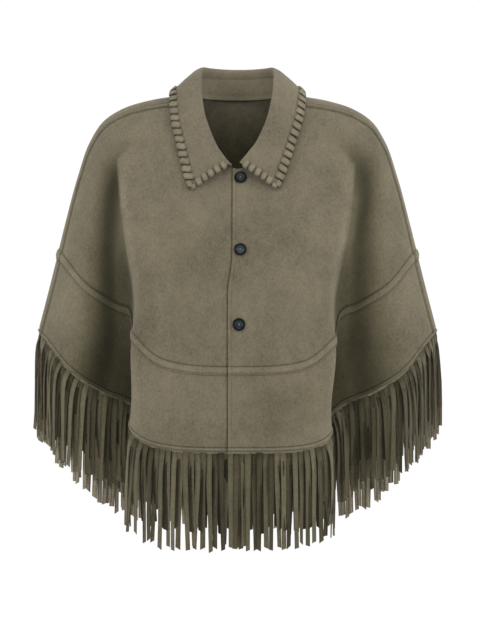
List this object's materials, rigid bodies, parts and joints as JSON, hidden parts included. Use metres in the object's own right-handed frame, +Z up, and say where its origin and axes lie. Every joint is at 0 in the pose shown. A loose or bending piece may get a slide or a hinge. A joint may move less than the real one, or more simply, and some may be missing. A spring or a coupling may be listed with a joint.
{
  "type": "fringe cape",
  "caption": "Hip-length suede cape with a laced shirt collar, button front, lapped lower band and long fringe round the hem, filled out as worn",
  "frame": {"origin": "between the shoulders at the base of the neck, where the wearer's shoulders carry the cape", "axes": "+Z up, -Y towards the front, +X towards the wearer's left"},
  "size_m": [0.6571, 0.3188, 0.7736],
  "materials": {
    "suede": "napped faux suede, matt with a soft sheen, olive taupe",
    "fringe_suede": "cut strips of the same napped faux suede",
    "collar_suede": "doubled faux suede, matt nap",
    "lace_suede": "flat faux suede lace, slightly burnished",
    "button_resin": "dark navy horn-look resin, satin gloss"
  },
  "bodies": {
    "root": {"front_right_upper": "suede", "front_right_band": "suede", "fringe_front_right": "fringe_suede", "front_left_upper": "suede", "front_left_band": "suede", "fringe_front_left": "fringe_suede", "back_right_upper": "suede", "back_right_band": "suede", "fringe_back_right": "fringe_suede", "back_left_upper": "suede", "back_left_band": "suede", "fringe_back_left": "fringe_suede", "collar_stand": "collar_suede", "collar_leaf": "collar_suede", "collar_lace": "lace_suede", "button_1": "button_resin", "button_2": "button_resin", "button_3": "button_resin"}
  },
  "joints": []
}
